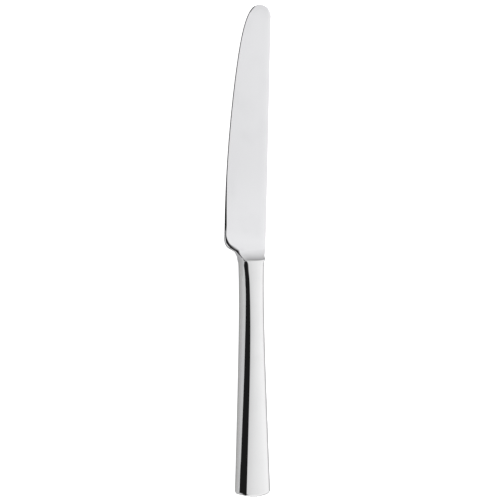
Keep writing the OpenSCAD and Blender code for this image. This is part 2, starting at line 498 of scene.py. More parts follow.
class Signal:
    """A shader socket that adds, multiplies and compares like a number."""

    def __init__(self, bench: "NodeBench", socket: bpy.types.NodeSocket) -> None:
        """Wraps one output socket."""
        self.bench = bench
        self.socket = socket

    def _math(self, operation: str, first: object, second: object) -> "Signal":
        """Adds a Math node for one operation."""
        return self.bench.node("ShaderNodeMath", {"operation": operation}, {0: first, 1: second})

    def __add__(self, other: object) -> "Signal":
        """self + other."""
        return self._math("ADD", self, other)

    def __sub__(self, other: object) -> "Signal":
        """self - other."""
        return self._math("SUBTRACT", self, other)

    def __rsub__(self, other: object) -> "Signal":
        """other - self."""
        return self._math("SUBTRACT", other, self)

    def __mul__(self, other: object) -> "Signal":
        """self * other."""
        return self._math("MULTIPLY", self, other)

    def angle_to(self, other: "Signal") -> "Signal":
        """The angle whose tangent is self over other."""
        return self._math("ARCTAN2", self, other)

    def step(self, low: object, high: object) -> "Signal":
        """A smooth step from 0 at low to 1 at high."""
        return self.bench.node(
            "ShaderNodeMapRange",
            {"interpolation_type": "SMOOTHSTEP"},
            {"Value": self, "From Min": low, "From Max": high},
        )


class NodeBench:
    """Builds one node tree from Python expressions."""

    def __init__(self, tree: bpy.types.NodeTree) -> None:
        """Clears the tree it is to build."""
        self.tree = tree
        tree.nodes.clear()

    def node(
        self,
        kind: str,
        settings: dict[str, object] | None = None,
        inputs: dict[int | str, object] | None = None,
        output: int | str = 0,
    ) -> Signal:
        """Adds a node.

        Args:
            kind: The node's type.
            settings: Its own settings, set first. A ramp's are its stops.
            inputs: A value or a Signal for each named or numbered socket.
            output: The socket to hand on.

        Returns:
            The output socket, as a Signal.
        """
        made = self.tree.nodes.new(kind)
        for key, value in (settings or {}).items():
            if key == "stops":
                self._set_stops(made.color_ramp, value)
            else:
                setattr(made, key, value)
        for key, value in (inputs or {}).items():
            if isinstance(value, Signal):
                self.tree.links.new(value.socket, made.inputs[key])
            else:
                made.inputs[key].default_value = value
        return Signal(self, made.outputs[output]) if made.outputs else Signal(self, None)

    @staticmethod
    def _set_stops(ramp: bpy.types.ColorRamp, stops: Sequence[tuple[float, float]]) -> None:
        """Gives a colour ramp its grey stops."""
        while len(ramp.elements) < len(stops):
            ramp.elements.new(1.0)
        for element, (place, level) in zip(ramp.elements, stops):
            element.position = place
            element.color = (level, level, level, 1.0)

    def coordinates(self) -> Signal:
        """The piece's own coordinates, in metres."""
        return self.node("ShaderNodeTexCoord", output="Object")

    def scaled(self, vector: Signal, scale: Triple, turn: float = 0.0) -> Signal:
        """Turns coordinates about z by degrees and scales them."""
        return self.node(
            "ShaderNodeMapping",
            {"vector_type": "POINT"},
            {"Vector": vector, "Rotation": (0.0, 0.0, math.radians(turn)), "Scale": scale},
        )

    def noise(self, vector: Signal, scale: float, detail: float) -> Signal:
        """A noise pattern around 0.5."""
        return self.node(
            "ShaderNodeTexNoise", None, {"Vector": vector, "Scale": scale, "Detail": detail}
        )

    def blend(self, factor: Signal, first: Colour | Signal, second: Colour | Signal) -> Signal:
        """A colour between two, by a factor."""
        return self.node(
            "ShaderNodeMix",
            {"data_type": "RGBA"},
            {"Factor": factor, 6: first, 7: second},
            output=2,
        )

    def bump(self, height: Signal, depth: float, under: Signal | None = None) -> Signal:
        """A surface raised by a pattern, or cut by it where there is another bump under it.

        Args:
            height: The pattern.
            depth: How deep it goes, in metres.
            under: The bump that it cuts into, if any.

        Returns:
            The bent normal.
        """
        inputs = {"Strength": 1.0, "Distance": depth, "Height": height}
        if under is not None:
            inputs["Normal"] = under
        return self.node("ShaderNodeBump", {"invert": under is not None}, inputs)

    def surface(self, inputs: dict[int | str, object]) -> None:
        """Ends a material's tree with a Principled shader."""
        shader = self.node("ShaderNodeBsdfPrincipled", None, inputs)
        self.node("ShaderNodeOutputMaterial", None, {"Surface": shader})


def new_material(name: str) -> tuple[bpy.types.Material, NodeBench]:
    """Makes a material, and the bench to build it on."""
    made = bpy.data.materials.new(name)
    made.use_nodes = True
    return made, NodeBench(made.node_tree)


@dataclass(frozen=True)
class SteelFinish:
    """Stainless steel with a fine lay of polishing lines, smudges and hairline scratches.

    The bands are the parts of a noise pattern over which smudges and scratches come in.

    Args:
        name: The material's name.
        bright: Colour of clean steel.
        dull: Colour where it is handled.
        roughness: Roughness of clean steel.
        smear: Roughness that smudges add.
        lay: Lines per metre along x, y and z; the lay runs along the smallest.
        lay_depth: Depth of the lines, in metres.
        scratch_depth: Depth of the hairline scratches, in metres.
        meets: The steel that it is polished flush with at the handle's mouth, if any.
        meets_at: Where along y the two finishes meet, in metres.
    """

    name: str
    bright: Colour
    dull: Colour
    roughness: float
    smear: float
    lay: Triple
    lay_depth: float
    scratch_depth: float
    meets: "SteelFinish | None" = None
    meets_at: Point = (0.0, 0.0)

    SMUDGES_PER_M = 90.0
    SMUDGE_BAND = (0.46, 0.72)
    SCRATCH_LAY = (2600.0, 55.0, 900.0)
    SCRATCH_BAND = (0.70, 0.76)
    SCRATCH_TURNS_AND_SEEDS = ((4.0, 3.1), (-7.0, 8.7))

    def material(self) -> bpy.types.Material:
        """Makes the material."""
        made, bench = new_material(self.name)
        place = bench.coordinates()
        lines = bench.noise(bench.scaled(place, self.lay), 1.0, 2.0)
        cloud = bench.noise(place, self.SMUDGES_PER_M, 4.0).step(*self.SMUDGE_BAND)
        hair = self._hairlines(bench, place)
        relief = bench.bump(hair, self.scratch_depth, bench.bump(lines, self.lay_depth))
        worn = cloud * 0.7 + hair * 0.3
        colour = bench.blend(worn, self.bright, self.dull)
        rough = cloud * self.smear + hair * 0.06 + lines * 0.02 + self.roughness
        if self.meets:
            away = bench.node("ShaderNodeSeparateXYZ", None, {0: place}, output="Y").step(*self.meets_at)
            near = bench.blend(worn, self.meets.bright, self.meets.dull)
            colour = bench.blend(away, near, colour)
            rough = rough - (1 - away) * (self.roughness - self.meets.roughness)
        bench.surface(
            {"Metallic": 1.0, "Base Color": colour, "Roughness": rough, "Normal": relief}
        )
        return made

    def _hairlines(self, bench: NodeBench, place: Signal) -> Signal:
        """Sparse long scratches that lie in two slightly crossed directions."""
        layers = []
        for turn, seed in self.SCRATCH_TURNS_AND_SEEDS:
            lay = bench.scaled(place, self.SCRATCH_LAY, turn)
            streaks = bench.node(
                "ShaderNodeTexNoise",
                {"noise_dimensions": "4D"},
                {"Vector": lay, "W": seed, "Scale": 1.0, "Detail": 1.0},
            )
            layers.append(streaks.step(*self.SCRATCH_BAND))
        return layers[0] + layers[1]


@dataclass(frozen=True)
class FillerFinish:
    """A cast or flowed joint filler: solder, braze or bedding cement.

    Args:
        name: The material's name.
        light: Its lighter colour.
        dark: Its darker colour.
        metallic: 1 for a metal, 0 for cement.
        roughness: Its middle roughness.
        grain: Size of the grain, in spots per metre.
        depth: Depth of the grain, in metres.
    """

    name: str
    light: Colour
    dark: Colour
    metallic: float
    roughness: float
    grain: float
    depth: float

    def material(self) -> bpy.types.Material:
        """Makes the material."""
        made, bench = new_material(self.name)
        place = bench.coordinates()
        grain = bench.noise(place, self.grain, 5.0)
        patch = bench.noise(place, self.grain * 0.18, 3.0).step(0.35, 0.68)
        bench.surface(
            {
                "Metallic": self.metallic,
                "Base Color": bench.blend(patch * 0.6 + grain * 0.4, self.light, self.dark),
                "Roughness": grain * 0.2 + self.roughness,
                "Normal": bench.bump(grain, self.depth),
            }
        )
        return made


POLISHED_HANDLE = SteelFinish(
    name="handle_steel_polished",
    bright=(0.625, 0.625, 0.628, 1.0),
    dull=(0.605, 0.605, 0.608, 1.0),
    roughness=0.035,
    smear=0.03,
    lay=(5200.0, 60.0, 5200.0),
    lay_depth=2.5e-7,
    scratch_depth=4e-7,
)
GLAZED_BLADE = SteelFinish(
    name="blade_steel_glazed",
    bright=(0.682, 0.682, 0.695, 1.0),
    dull=(0.663, 0.663, 0.676, 1.0),
    roughness=0.08,
    smear=0.03,
    lay=(120.0, 4200.0, 120.0),
    lay_depth=5e-7,
    scratch_depth=5e-7,
    meets=POLISHED_HANDLE,
    meets_at=(-0.0052, -0.0041),
)
BRAZE = FillerFinish(
    name="braze_polished",
    light=(0.62, 0.60, 0.55, 1.0),
    dark=(0.52, 0.49, 0.42, 1.0),
    metallic=1.0,
    roughness=0.10,
    grain=2400.0,
    depth=2e-6,
)
SOLDER = FillerFinish(
    name="solder_dull",
    light=(0.55, 0.56, 0.57, 1.0),
    dark=(0.42, 0.43, 0.45, 1.0),
    metallic=1.0,
    roughness=0.30,
    grain=1800.0,
    depth=6e-6,
)
CEMENT = FillerFinish(
    name="cement_cast",
    light=(0.50, 0.47, 0.42, 1.0),
    dark=(0.31, 0.29, 0.26, 1.0),
    metallic=0.0,
    roughness=0.72,
    grain=1500.0,
    depth=6e-5,
)


@dataclass(frozen=True)
class HandleForm:
    """The outside of the handle: two flat faces joined by bowed sides.

    Args:
        length: From the mouth to the end of the butt.
        thick: From flat face to flat face.
        mouth_w: Width at the mouth.
        waist_w: Width at the waist.
        waist_at: From the mouth to the waist.
        butt_w: Width at the butt.
        flare_ease: How gently it widens behind the waist.
        side_in: From the side's widest line in to the flat face, where it is greatest.
        side_at: From the mouth to that place.
        neck_in: The same at the neck.
        neck_at: From the mouth to the neck.
        edge_in: The same beside the blade's ramp, where the side has narrowed to an edge.
        narrow_from: From the mouth back to where the side starts to narrow.
        narrow_to: From the mouth forward to where it has narrowed.
        narrow_power: The power by which that starts slowly.
        stock_in: The same on the bent stock, before it is drawn out.
        crown: How far the middle of a flat face stands above its edges, at the mouth.
        crown_gain: The share of itself that this gains by the butt.
        bow: How far the middle of the butt's end bows out.
        bow_from: From the mouth to where the bow starts.
        butt_r: Rounding of the butt's edges.
        mouth_r: Height of the rounded corner on the cutting side, at the mouth.
        box_from: From the mouth to where that corner starts to ease into the bowed side.
        box_to: From the mouth to where it has.
    """

    length: float = 112.8
    thick: float = 9.0
    mouth_w: float = 12.8
    waist_w: float = 12.5
    waist_at: float = 11.8
    butt_w: float = 18.4
    flare_ease: float = 25.0
    side_in: float = 3.86
    side_at: float = 66.0
    neck_in: float = 2.95
    neck_at: float = 8.0
    edge_in: float = 0.65
    narrow_from: float = 3.0
    narrow_to: float = 1.0
    narrow_power: int = 4
    stock_in: float = 3.2
    crown: float = 0.10
    crown_gain: float = 0.5
    bow: float = 1.8
    bow_from: float = 92.8
    butt_r: float = 1.3
    mouth_r: float = 2.5
    box_from: float = 3.0
    box_to: float = 12.0

    @property
    def up(self) -> float:
        """Half the thickness at the edge of a flat face, at the mouth."""
        return self.thick / 2 - self.crown

    def crown_at(self, d: float) -> float:
        """How far the middle of a flat face stands up, at a distance behind the mouth."""
        return self.crown * (1 + self.crown_gain * ease(self.waist_at, self.length, d))

    def half_width(self, d: float) -> float:
        """Half the width at a distance behind the mouth."""
        waist = self.waist_w / 2
        if d < self.waist_at:
            return waist + (self.mouth_w / 2 - waist) * (1 - d / self.waist_at) ** 2
        run = math.hypot(d - self.waist_at, self.flare_ease) - self.flare_ease
        full = math.hypot(self.length - self.waist_at, self.flare_ease) - self.flare_ease
        return waist + (self.butt_w / 2 - waist) * run / full

    def section(self, d: float, skin: float = 0.0) -> Section:
        """The section at a distance behind the mouth.

        Args:
            d: The distance.
            skin: How far inside the outside it lies.

        Returns:
            The section.
        """
        half = self.half_width(d) - skin
        radius = (self.stock_in**2 + self.up**2) / (2 * self.stock_in) - skin
        up = self.thick / 2 - self.crown_at(d) - skin
        inset = (radius - math.sqrt(radius**2 - up**2)) * self.side(d) / self.stock_in
        boxed = 1 - ease(self.box_from, self.box_to, d)
        return Section(-d, -half, half, inset, inset, up, up, 0.0, boxed, self.mouth_r)

    def stock(self) -> Section:
        """The section that the side's curve is bent to before it is drawn out."""
        half = self.mouth_w / 2
        return Section(0, -half, half, self.stock_in, self.stock_in, self.up, self.up)

    @property
    def sweep(self) -> float:
        """The angle in degrees that the stock's side takes from its widest line to the flat face."""
        return math.degrees(2 * math.atan(self.stock_in / self.up))

    def side(self, d: float) -> float:
        """From the side's widest line in to the flat face, at a distance behind the mouth."""
        away = max(0.0, self.side_at - d) / (self.side_at - self.neck_at)
        even = mix(self.side_in, self.neck_in, away**2)
        part = (self.narrow_from - d) / (self.narrow_from + self.narrow_to)
        return mix(even, self.edge_in, min(1.0, max(0.0, part)) ** self.narrow_power)

    def arch(self, part: float, d: float = 0.0) -> float:
        """How far the flat face stands above its edges, from 0 to 1 over its width."""
        return self.crown_at(d) * (1 - (2 * part - 1) ** 2)

    def bowed(self, d: float, x: float) -> float:
        """How far the butt's bow brings a point forward."""
        return self.bow * (2 * x / self.butt_w) ** 2 * ease(self.bow_from, self.length, d)


@dataclass
class HandleShell:
    """One pressed half of the handle, from its rim on the middle plane to its flat face.

    Args:
        form: The outside of the handle.
        datum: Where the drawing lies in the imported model.
        face: The half that it is.
        rim: The rim's distance from the middle plane.
        wall: Thickness of the sheet.
        circle_steps: Steps in a full circle of the side's curve.
        columns: Columns over the flat face.
        finish: The finish of the steel.
    """

    form: HandleForm
    datum: Datum
    face: Face
    rim: float = 0.06
    wall: float = 0.9
    circle_steps: int = 96
    columns: int = 8
    finish: SteelFinish = POLISHED_HANDLE

    @property
    def name(self) -> str:
        """The piece's name."""
        return f"handle_{self.face.name.lower()}_half"

    @property
    def node(self) -> str:
        """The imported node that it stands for."""
        return f"handle_shell_{self.face.name.lower()}"

    def stations(self) -> list[Section]:
        """The sections from the mouth to the end of the butt."""
        form = self.form
        last = form.length - form.butt_r
        along = [0.0] + spread(0, form.waist_at, 12) + spread(form.waist_at, last, 36)
        path = [form.section(d) for d in along]
        for turn in spread(0, 90, 6):
            a = math.radians(turn)
            d = last + form.butt_r * math.sin(a)
            path.append(form.section(d, form.butt_r * (1 - math.cos(a))))
        return path

    def build(self) -> bpy.types.Object:
        """Presses the half shell."""
        piece = Workpiece(self.name, self.datum, self.rim)
        path = self.stations()
        piece.hoop(self.form.stock(), self.circle_steps)
        piece.trim(self.rim, -1)
        piece.choose_all()
        piece.reshape(self.form.stock(), path[0])
        piece.follow(path)
        if self.face is Face.FRONT:
            piece.square_up(self.form.sweep)
        piece.rib(self.columns)
        piece.crown(self.columns, lambda part, y: self.form.arch(part, -y))
        self._close_end(piece)
        self._bow(piece)
        if self.face is Face.BACK:
            piece.choose_all()
            piece.stretch((1, 1, -1), (0, 0, 0))
        piece.clean()
        piece.close()
        piece.finish_modifier("SOLIDIFY", thickness=self.wall * MM, offset=-1, use_even_offset=True)
        piece.smooth(sharp_over=40)
        return piece.obj

    def _bow(self, piece: Workpiece) -> None:
        """Bows the end of the butt out at its middle."""
        reach = (-self.form.length, -self.form.bow_from)
        piece.slide(reach, lambda y, x: self.form.bowed(-y, x))

    def _close_end(self, piece: Workpiece) -> None:
        """Drops the end wall from the rounded edge down to the rim."""
        end = self.form.length
        piece.choose(v for v in piece.bm.verts if abs(piece.drawn(v)[1] + end) < piece.NEAR)
        bpy.ops.mesh.extrude_region_move(TRANSFORM_OT_translate={"value": (0, 0, 0)})
        piece.stretch((1, 1, 0), (0, 0, self.rim))

    def dress(self, obj: bpy.types.Object) -> None:
        """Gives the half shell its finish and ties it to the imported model."""
        obj.data.materials.clear()
        obj.data.materials.append(self.finish.material())
        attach(obj, BODY)
        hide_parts(self.node)


@dataclass
class Blade:
    """The forging: blade, heel, ramp up to the handle's mouth, spigot and notched tang.

    Args:
        handle: The handle that its mouth fits.
        datum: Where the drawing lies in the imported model.
        length: From the mouth to the tip.
        width: From the cutting edge to the spine at the heel.
        belly_turn: How far the cutting edge leans at the belly, in degrees.
        belly_in: From the heel's line in to the belly, as a share of the width.
        belly_at: From the mouth to the belly, as a share of the length.
        belly_pull: How far the edge follows that lean before and after it, as shares of the length.
        heel_pull: How far the edge runs straight on from the heel, as a share of the length.
        tip_pull: How far the edge runs level into the tip, as a share of the length.
        neck_pull: The neck's control point: how far out, and its share of the way to the heel.
        bulge_pull: The heel's control point, the same way.
        lean: How far the spine leans out between the ramp and the tip.
        step: How far the spine steps out beside the ramp.
        skin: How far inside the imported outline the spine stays.
        spine_t: Thickness of the spine at the mouth.
        tip_t: Thickness of the spine at the tip.
        tip_r: Radius of the tip's corner on the spine side.
        tip_flat: Width of the short straight stretch at the tip.
        tip_round: Rounding over the very end.
        tip_edge: Rounding of the spine's edges there.
        tip_slope: The face's steepest slope across the tip.
        land: Length of the bolster's land, between the mouth and the ramp.
        ramp: Length of the ramp.
        ramp_late: How far the ramp's edge on the cutting side lags behind its middle.
        ramp_bow: How far the ramp's top edge bows back at its middle.
        spine_soft: Width of the softened corner where the ramp's top edge meets the spine.
        heel_t: Thickness of the heel along its blunt side.
        heel_at: From the mouth to where the heel is widest.
        heel_round: Rounding of the heel's blunt side.
        heel_r: Height of that rounding.
        heel_bulge: How far the heel's corner stands out past the cutting edge.
        swell: How far each face swells out towards the bolster.
        neck_r: Height of the rounded edge beside the ramp.
        bevel_heel_w: Width of the cutting bevel next to the heel.
        bevel_heel_up: Half the blade's thickness at the bevel there.
        bevel_w: Width of the cutting bevel on the rest of the blade.
        bevel_up: Half the blade's thickness at the bevel on the rest of the blade.
        spine_round: Rounding of the spine's edges.
        roll: How far the face rolls down to the spine.
        roll_from: Where over the face the roll starts, 0 at the cutting edge and 1 at the spine.
        spigot: Length of the spigot.
        spigot_in: From the handle's outside in to the spigot.
        tang_len: From the mouth to the end of the tang.
        tang_w: Width of the tang at its root.
        tang_end_w: Width of the tang at its end.
        tang_t: Thickness of the tang.
        tang_round: Rounding of the tang's edges.
        tang_chamfer: Chamfer at the tang's end.
        notch_r: Radius of the tang's notches.
        circle_steps: Steps in a full circle of the side's curve.
        columns: Columns over the flat faces.
        finish: The finish of the steel.
    """

    handle: HandleForm
    datum: Datum
    length: float = 123.7
    width: float = 22.15
    belly_turn: float = 9.7
    belly_in: float = 0.341
    belly_at: float = 0.785
    belly_pull: Point = (0.208, 0.093)
    heel_pull: float = 0.207
    tip_pull: float = 0.0525
    neck_pull: Point = (2.9, 0.62)
    bulge_pull: Point = (0.1, 0.27)
    lean: float = 4.2
    step: float = 1.11
    skin: float = 0.06
    spine_t: float = 2.4
    tip_t: float = 1.3
    tip_r: float = 5.3
    tip_flat: float = 1.4
    tip_round: float = 0.08
    tip_edge: float = 0.05
    tip_slope: float = 0.045
    land: float = 1.2
    ramp: float = 5.6
    ramp_late: float = 0.9
    ramp_bow: float = 0.8
    spine_soft: float = 1.0
    heel_t: float = 1.7
    heel_at: float = 11.7
    heel_round: float = 2.2
    heel_r: float = 1.25
    heel_bulge: float = 0.28
    swell: float = 0.6
    neck_r: float = 0.6
    bevel_heel_w: float = 0.8
    bevel_heel_up: float = 0.68
    bevel_w: float = 0.37
    bevel_up: float = 0.18
    spine_round: float = 0.4
    roll: float = 0.03
    roll_from: float = 0.9
    spigot: float = 5.0
    spigot_in: float = 1.05
    tang_len: float = 62.0
    tang_w: float = 7.0
    tang_end_w: float = 4.0
    tang_t: float = 3.0
    tang_round: float = 0.2
    tang_chamfer: float = 0.8
    notch_r: float = 0.8
    circle_steps: int = 96
    columns: int = 16
    finish: SteelFinish = GLAZED_BLADE

    name = "blade_forging"
    node = "blade"

    @property
    def foot(self) -> float:
        """Half the width where the ramp starts."""
        return self.handle.half_width(-self.land)

    @property
    def heel_x(self) -> float:
        """The outermost x of the heel."""
        return self.spine_line(self.heel_at) - self.width

    def past_heel(self, a: float, b: float, y: float) -> float:
        """Rises smoothly from 0 to 1 between two distances past the heel."""
        return ease(self.heel_at + a, self.heel_at + b, y)

    def outline(self) -> list[list[Point]]:
        """The cutting edge's outline from the land to the tip, as three cubic curves."""
        long = self.length
        turn = math.radians(self.belly_turn)
        way_x, way_y = math.sin(turn), math.cos(turn)
        heel = (self.heel_x, self.heel_at)
        belly = (self.heel_x + self.belly_in * self.width, self.belly_at * long)
        back, on = (share * long for share in self.belly_pull)
        before = (belly[0] - back * way_x, belly[1] - back * way_y)
        after = (belly[0] + on * way_x, belly[1] + on * way_y)
        tip = (self.tip_centre[0] - self.tip_flat, long)
        foot = (-self.foot, self.land)
        neck = (-self.foot - self.neck_pull[0], mix(self.land, self.heel_at, self.neck_pull[1]))
        bulge = (self.heel_x - self.bulge_pull[0], mix(self.land, self.heel_at, self.bulge_pull[1]))
        return [
            [foot, neck, bulge, heel],
            [heel, (self.heel_x, self.heel_at + self.heel_pull * long), before, belly],
            [belly, after, (tip[0] - self.tip_pull * long, long), tip],
        ]

    @property
    def tip_centre(self) -> Point:
        """The centre of the tip's corner."""
        level = self.length - self.tip_r
        return (self.spine_line(level) - self.tip_r, level)

    def edge_at(self, y: float) -> Point:
        """Finds the cutting edge's outline at a height.

        Args:
            y: The height above the mouth.

        Returns:
            The outline's x, and its length for each step of y.
        """
        if y < self.land:
            return -self.handle.half_width(-y), 1.0
        curve = next(c for c in self.outline() if y <= c[3][1] + 1e-9)

        def along(t: float, axis: int) -> float:
            a, b, c, d = (p[axis] for p in curve)
            return (1 - t) ** 3 * a + 3 * (1 - t) ** 2 * t * b + 3 * (1 - t) * t * t * c + t**3 * d

        def slope(t: float, axis: int) -> float:
            a, b, c, d = (p[axis] for p in curve)
            return (1 - t) ** 2 * (b - a) + 2 * (1 - t) * t * (c - b) + t * t * (d - c)

        t, _ = halve(lambda t: along(t, 1) < y, 0.0, 1.0, 50)
        rise = max(slope(t, 1), 1e-6)
        bulge = self.heel_bulge * ease(self.land, self.heel_at, y) * (1 - self.past_heel(0.8, 6.3, y))
        return along(t, 0) - bulge, math.hypot(slope(t, 0), rise) / rise

    @cached_property
    def heel_points(self) -> list[Point]:
        """Points along the outline of neck and heel."""
        return [(self.edge_at(y)[0], y) for y in spread(-0.1, self.heel_at + 12, 240)]

    def rounded_in(self, y: float, reach: float) -> float:
        """Finds how far a rounding of the heel's outline runs in at a height.

        Args:
            y: The height above the mouth.
            reach: The rounding's width, square to the outline.

        Returns:
            The distance from the outline along x.
        """
        left = self.edge_at(y)[0]

        def within(inset: float) -> bool:
            x = left + inset
            return min(math.hypot(x - px, y - py) for px, py in self.heel_points) < reach

        return halve(within, 0.0, 8.0, 24)[1]

    def spine_line(self, y: float) -> float:
        """The straight spine's x at a height above the mouth."""
        stepped = self.foot + self.step * ease(self.land, self.land + self.ramp, y)
        return stepped + self.lean * (y - self.land) / (self.length - self.land)

    def spine_at(self, y: float) -> float:
        """The spine's x at a height above the mouth."""
        if y < self.land:
            return self.handle.half_width(-y)
        cx, cy = self.tip_centre
        if y < cy:
            inside = self.skin * ease(self.land, self.heel_at, y)
            return self.spine_line(y) - inside - 0.5 * self.swell_at(y) * ease(self.land, 3, y)
        return cx - self.skin + math.sqrt(max(0.0, self.tip_r**2 - (y - cy) ** 2))

    def swell_at(self, y: float) -> float:
        """How far each face swells out at a height above the mouth."""
        return self.swell * (1 - ease(7, 17, y))

    def ramp_left(self, y: float) -> float:
        """The part of the ramp that is still to come, 1 at its top and 0 at its foot."""
        return min(1.0, max(0.0, 1 - (y - self.land) / self.ramp))

    def climb(self, y: float) -> float:
        """How far the hollow ramp has climbed, 0 at its foot and 1 at its steep top."""
        return self.ramp_left(y) ** 2

    def ramp_shift(self, y: float, x: float) -> float:
        """How far the ramp's bow moves a point along the knife."""
        share = self.ramp_left(y) if y > self.land else y / self.land
        return -self.ramp_bow * max(0.0, 1 - (x / self.foot) ** 2) * share

    def closing(self, y: float) -> float:
        """How much of the thickness is left over the tip's rounded end."""
        over = max(0.0, (y - self.length + self.tip_round) / self.tip_round)
        return math.sqrt(max(0.16, 1 - over**2))

    def lift(self, part: float, y: float) -> float:
        """How far the face stands above a straight line from its edge to the spine.

        Args:
            part: How far over the face, 0 at the cutting edge and 1 at the spine.
            y: The height above the mouth.

        Returns:
            The height: the handle's arch at the ramp's top, the roll to the spine elsewhere.
        """
        rolled = max(0.0, (part - self.roll_from) / (1 - self.roll_from)) ** 2
        rolled *= 1 - ease(self.length - 6, self.length - 1, y)
        face = self.roll * (part - rolled) * self.closing(y)
        rise = self.handle.up - self.heel_t / 2 - self.swell
        lag = (self.climb(y) - self.climb(y + self.ramp_late)) * rise
        return mix(face, self.handle.arch(part), self.climb(y)) + lag * (1 - (1 - part) ** 4 - part)

    def section(self, y: float) -> Section:
        """The blade's section at a height above the mouth."""
        left, tilt = self.edge_at(y)
        right = self.spine_at(y)
        wide = right - left
        up = self.handle.up
        climb = self.climb(y)
        swell = self.swell_at(y)

        # Half thicknesses at the cutting edge and at the spine.
        bevel_up = mix(self.bevel_heel_up, self.bevel_up, self.past_heel(2, 40, y))
        edge_up = mix(self.heel_t / 2 + swell, bevel_up, ease(9, 17, y))
        spine_up = mix(self.spine_t, self.tip_t, y / self.length) / 2 - self.roll + swell
        edge_up = max(edge_up, spine_up - self.tip_slope * wide)

        # The left side: the handle's at the mouth, then the heel's rounding, then the bevel.
        bevel = mix(self.bevel_heel_w, self.bevel_w, self.past_heel(2, 32, y))
        side = mix(self.heel_round, bevel, ease(6.6, self.heel_at + 1.3, y))
        neck = self.handle.side(-y)
        flank = side * min(3.0, tilt)
        if y < self.heel_at + 6:
            reach = mix(self.handle.edge_in, side, ease(2.5, 5.5, y))
            flank = mix(self.rounded_in(y, reach), flank, self.past_heel(2, 6, y))
            flank = mix(neck, flank, ease(self.land, 2.5, y))
        corner = mix(self.handle.mouth_r, self.neck_r, ease(0.4, 2.6, y))

        # The right side: the handle's at the mouth, then the spine's rounding, which fades at the tip.
        spine_in = mix(self.spine_round, self.tip_edge, ease(self.length - 3.5, self.length - 1, y))
        spine_in = mix(spine_in, mix(neck, self.spine_soft, ease(0, self.land, y)), climb)
        return Section(
            y,
            left,
            right,
            left_in=min(flank, 0.4 * wide),
            right_in=min(spine_in, 0.3 * wide),
            left_up=mix(edge_up, up, self.climb(y + self.ramp_late)) * self.closing(y),
            right_up=mix(spine_up, up, climb) * self.closing(y),
            ground=self.past_heel(1, 6, y),
            boxed=1 - self.past_heel(0, 5, y),
            corner=mix(corner, self.heel_r, ease(3, 5.5, y)),
            under=ease(1.2, 4.5, y),
        )

    def blade_stations(self) -> list[Section]:
        """The sections from the mouth to the tip."""
        long = self.length
        foot = self.land + self.ramp
        ground = self.heel_at + 14
        thin = self.heel_at + 38
        belly = 0.78 * long
        shoulder = long - self.tip_round
        heights = [0.0] + spread(0, self.land, 4)
        heights += [mix(self.land, foot, 1 - math.cos(turn)) for turn in spread(0, math.pi / 2, 22)]
        heights += spread(foot, ground, 36)
        heights += spread(ground, thin, 10) + spread(thin, belly, 12)
        turns = spread(0, math.pi / 2, 28)
        heights += [mix(belly, shoulder, math.sin(turn)) for turn in turns]
        heights += [mix(shoulder, long, math.sin(turn)) for turn in spread(0, math.pi / 2, 4)]
        return [self.section(y) for y in heights]

    def tang_stations(self) -> list[Section]:
        """The sections from the mouth back to the end of the tang."""
        root = -self.spigot
        path = [self.handle.section(0)]
        for d in (0.0, self.spigot / 2, self.spigot):
            path.append(self.handle.section(d, self.spigot_in))
        notches = []
        for i in (1, 2, 3):
            for end in End:
                part = (i - 0.25 * end.value) / 4
                notches.append((end, mix(root, -self.tang_len, part)))
        heights = {root - 0.001, -self.tang_len + self.tang_chamfer, -self.tang_len}
        for _, y in notches:
            heights.update(y + self.notch_r * k / 4 for k in range(-4, 5))
        for y in sorted(heights, reverse=True):
            part = (y - root) / (-self.tang_len - root)
            half = mix(self.tang_w, self.tang_end_w, part) / 2
            if y == -self.tang_len:
                half -= self.tang_chamfer
            bite = {End.LEFT: 0.0, End.RIGHT: 0.0}
            for end, centre in notches:
                bite[end] += math.sqrt(max(0.0, self.notch_r**2 - (y - centre) ** 2))
            left, right = -half + bite[End.LEFT], half - bite[End.RIGHT]
            up, edge = self.tang_t / 2, self.tang_round
            path.append(Section(y, left, right, edge, edge, up, up))
        return path

    def build(self) -> bpy.types.Object:
        """Forges the blade out of one loop, to the tip and back to the tang."""
        piece = Workpiece(self.name, self.datum, 0.0)
        piece.hoop(self.handle.stock(), self.circle_steps)
        piece.reshape(self.handle.stock(), self.handle.section(0))
        piece.follow(self.blade_stations())
        bpy.ops.mesh.edge_face_add()
        piece.choose(v for v in piece.bm.verts if abs(piece.drawn(v)[1]) < 1e-4)
        drawn_out = dict(piece.sections)
        piece.follow(self.tang_stations())
        bpy.ops.mesh.edge_face_add()
        piece.sections = drawn_out
        piece.square_up(self.handle.sweep)
        piece.rib(self.columns)
        piece.crown(self.columns, self.lift)
        piece.slide((0.0, self.land + self.ramp), self.ramp_shift)
        piece.clean()
        piece.close()
        piece.smooth(sharp_over=30)
        return piece.obj

    def dress(self, obj: bpy.types.Object) -> None:
        """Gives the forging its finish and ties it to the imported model."""
        obj.data.materials.clear()
        obj.data.materials.append(self.finish.material())
        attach(obj, BODY)
        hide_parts(self.node)


@dataclass(frozen=True)
class JointFillers:
    """What holds the pieces together: the braze, the bedding cement and the mouth's solder.

    Args:
        braze: Finish of the layer between the half shells.
        cement: Finish of the bedding around the tang.
        solder: Finish of the ring around the spigot.
    """

    braze: FillerFinish = BRAZE
    cement: FillerFinish = CEMENT
    solder: FillerFinish = SOLDER

    def dress(self) -> list[str]:
        """Gives each packed filler its finish, and names them."""
        fillers = {
            "seam_braze": self.braze,
            "tang_cement": self.cement,
            "mouth_solder": self.solder,
        }
        for node, finish in fillers.items():
            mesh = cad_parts[node].data
            mesh.materials.clear()
            mesh.materials.append(finish.material())
        return list(fillers)


